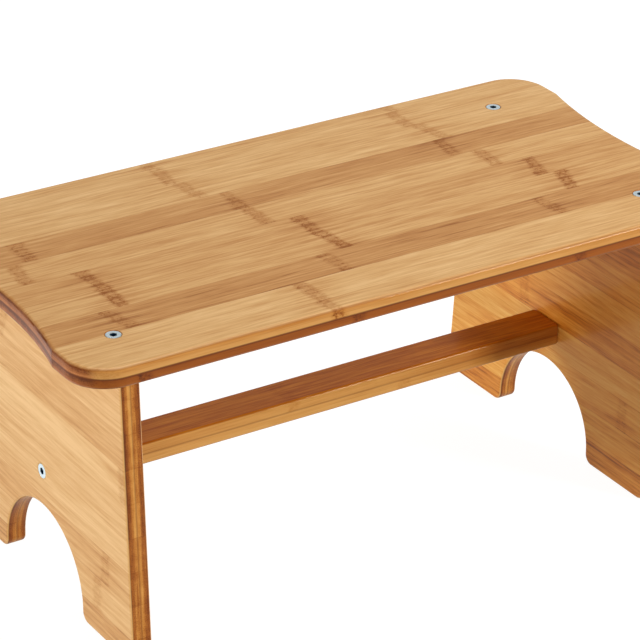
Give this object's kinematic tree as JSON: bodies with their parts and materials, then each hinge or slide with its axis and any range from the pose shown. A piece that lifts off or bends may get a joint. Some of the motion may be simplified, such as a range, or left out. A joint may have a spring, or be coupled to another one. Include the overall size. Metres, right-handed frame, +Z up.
{
  "type": "step stool",
  "caption": "Low bamboo step stool: a waisted tread on two arched side panels, tied by a flat rail and held with sunk socket-head screws.",
  "frame": {"origin": "On the floor, under the middle of the tread. The side panels and the rail stand 6 mm to the left of it.", "axes": "+X runs along the tread, +Z is up, and the front long edge faces -Y."},
  "size_m": [0.454, 0.23, 0.2],
  "materials": {
    "tread_top_bamboo": "satin lacquer",
    "tread_under_bamboo": "satin lacquer",
    "side_outer_bamboo": "satin lacquer",
    "side_inner_bamboo": "satin lacquer",
    "rail_bamboo": "satin lacquer",
    "zinc_screw": "bright zinc plate",
    "dowel_wood": "bare"
  },
  "bodies": {
    "root": {"tread_upper_layer": "tread_top_bamboo", "tread_lower_layer": "tread_under_bamboo", "left_side_outer_layer": "side_outer_bamboo", "left_side_inner_layer": "side_inner_bamboo", "right_side_outer_layer": "side_outer_bamboo", "right_side_inner_layer": "side_inner_bamboo", "rail_upper_layer": "rail_bamboo", "rail_lower_layer": "rail_bamboo", "tread_screw_left_front": "zinc_screw", "tread_screw_left_back": "zinc_screw", "tread_screw_right_front": "zinc_screw", "tread_screw_right_back": "zinc_screw", "rail_screw_left": "zinc_screw", "rail_screw_right": "zinc_screw", "rail_dowel_left_front": "dowel_wood", "rail_dowel_left_back": "dowel_wood", "rail_dowel_right_front": "dowel_wood", "rail_dowel_right_back": "dowel_wood"}
  },
  "joints": []
}
